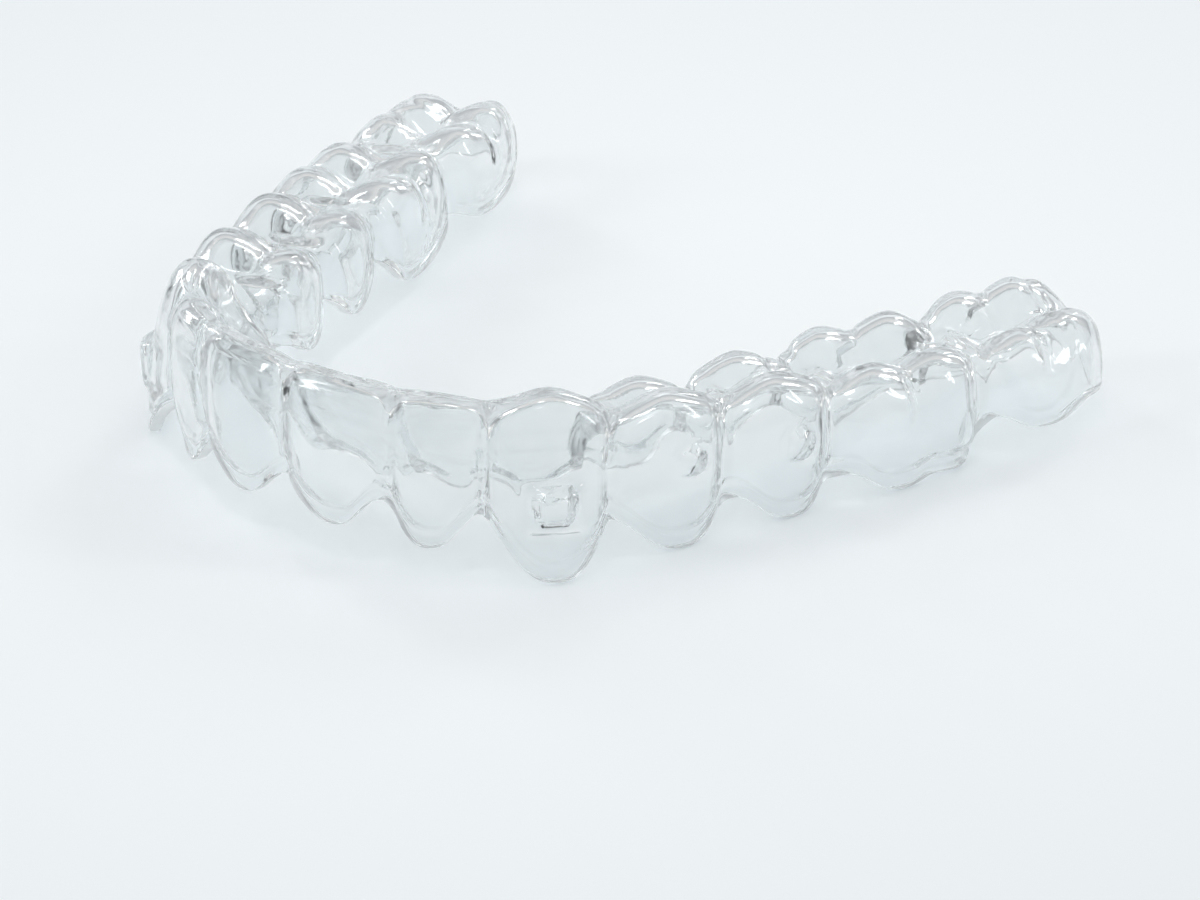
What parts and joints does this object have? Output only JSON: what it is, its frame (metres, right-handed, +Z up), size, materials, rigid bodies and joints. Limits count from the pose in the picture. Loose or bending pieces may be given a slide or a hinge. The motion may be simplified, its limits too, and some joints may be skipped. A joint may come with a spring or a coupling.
{
  "type": "clear dental aligner",
  "caption": "Thin clear thermoformed shell that fits over a full upper row of teeth, open below along a scalloped rim, with hollow bumps for bonded attachments.",
  "frame": {"origin": "middle of the footprint, on the flat surface that the shell's rim rests on", "axes": "+Z up with the biting side up, -Y towards the front teeth, +X towards the wearer's left side and the side with the premolar bumps"},
  "size_m": [0.0632, 0.047, 0.0122],
  "materials": {
    "clear_plastic": "clear, glossy, faintly grey-white"
  },
  "bodies": {
    "root": {"aligner_shell": "clear_plastic"}
  },
  "joints": []
}
